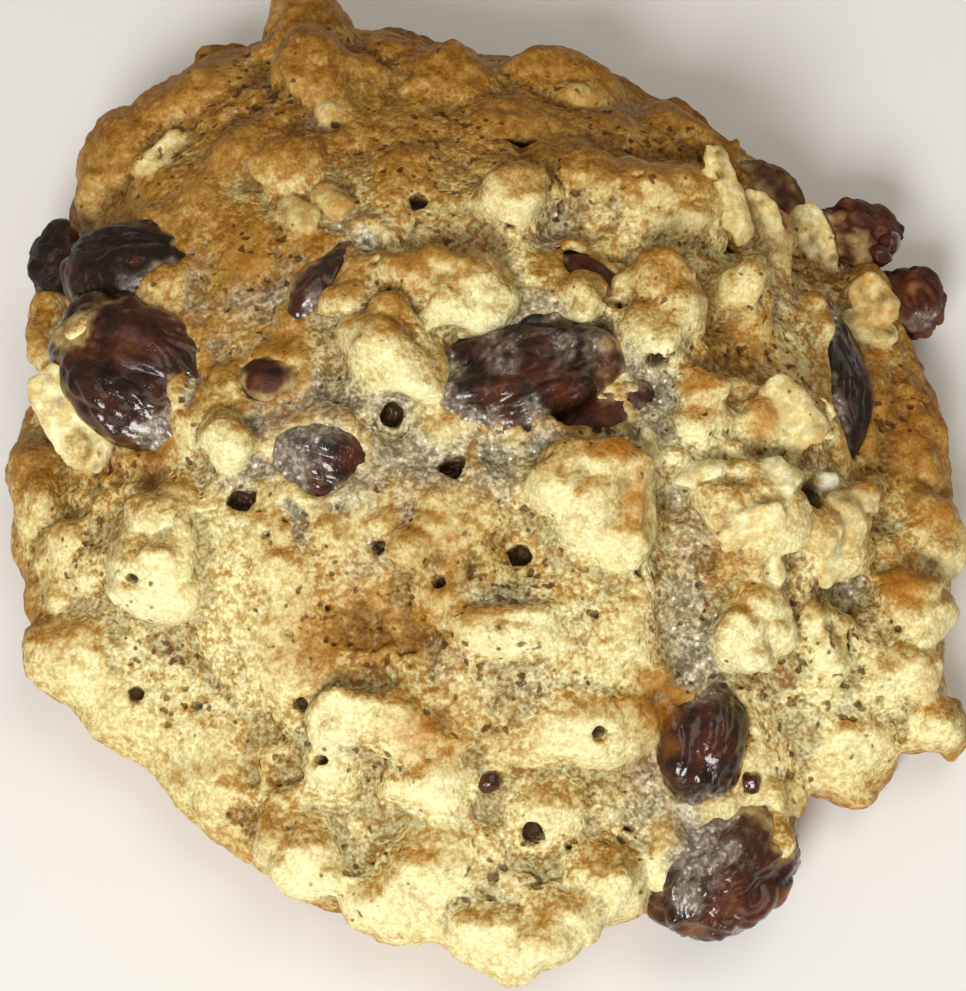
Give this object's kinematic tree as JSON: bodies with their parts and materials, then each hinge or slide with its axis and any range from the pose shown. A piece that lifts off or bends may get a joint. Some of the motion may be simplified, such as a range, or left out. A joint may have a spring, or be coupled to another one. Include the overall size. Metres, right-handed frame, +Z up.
{
  "type": "oatmeal raisin cookie",
  "caption": "Thick, craggy round oat cookie: a heaped mound of baked dough with oat lumps and flakes on a flat base, with wrinkled raisins set in it.",
  "frame": {"origin": "middle of the cookie's box, on the surface that it lies on", "axes": "+Z up through the cookie's thickness, +X right and +Y towards the back with the raisin that overhangs the rim at the front right"},
  "size_m": [0.07, 0.0772, 0.0227],
  "materials": {
    "dough": "baked oat dough: matt, porous crumb, pale gold with browned tops",
    "raisin": "wrinkled raisin skin: dark red-brown, sticky gloss"
  },
  "bodies": {
    "root": {"dough": "dough", "raisin_left_back": "raisin", "raisin_left_tip": "raisin", "raisin_left_front": "raisin", "raisin_sliver": "raisin", "raisin_veiled": "raisin", "raisin_mid_left": "raisin", "raisin_centre": "raisin", "raisin_centre_right": "raisin", "raisin_peeking": "raisin", "raisin_right_long": "raisin", "raisin_far_brown": "raisin", "raisin_far_dark": "raisin", "raisin_far_red": "raisin", "raisin_front_upper": "raisin", "raisin_front_lower": "raisin"}
  },
  "joints": []
}
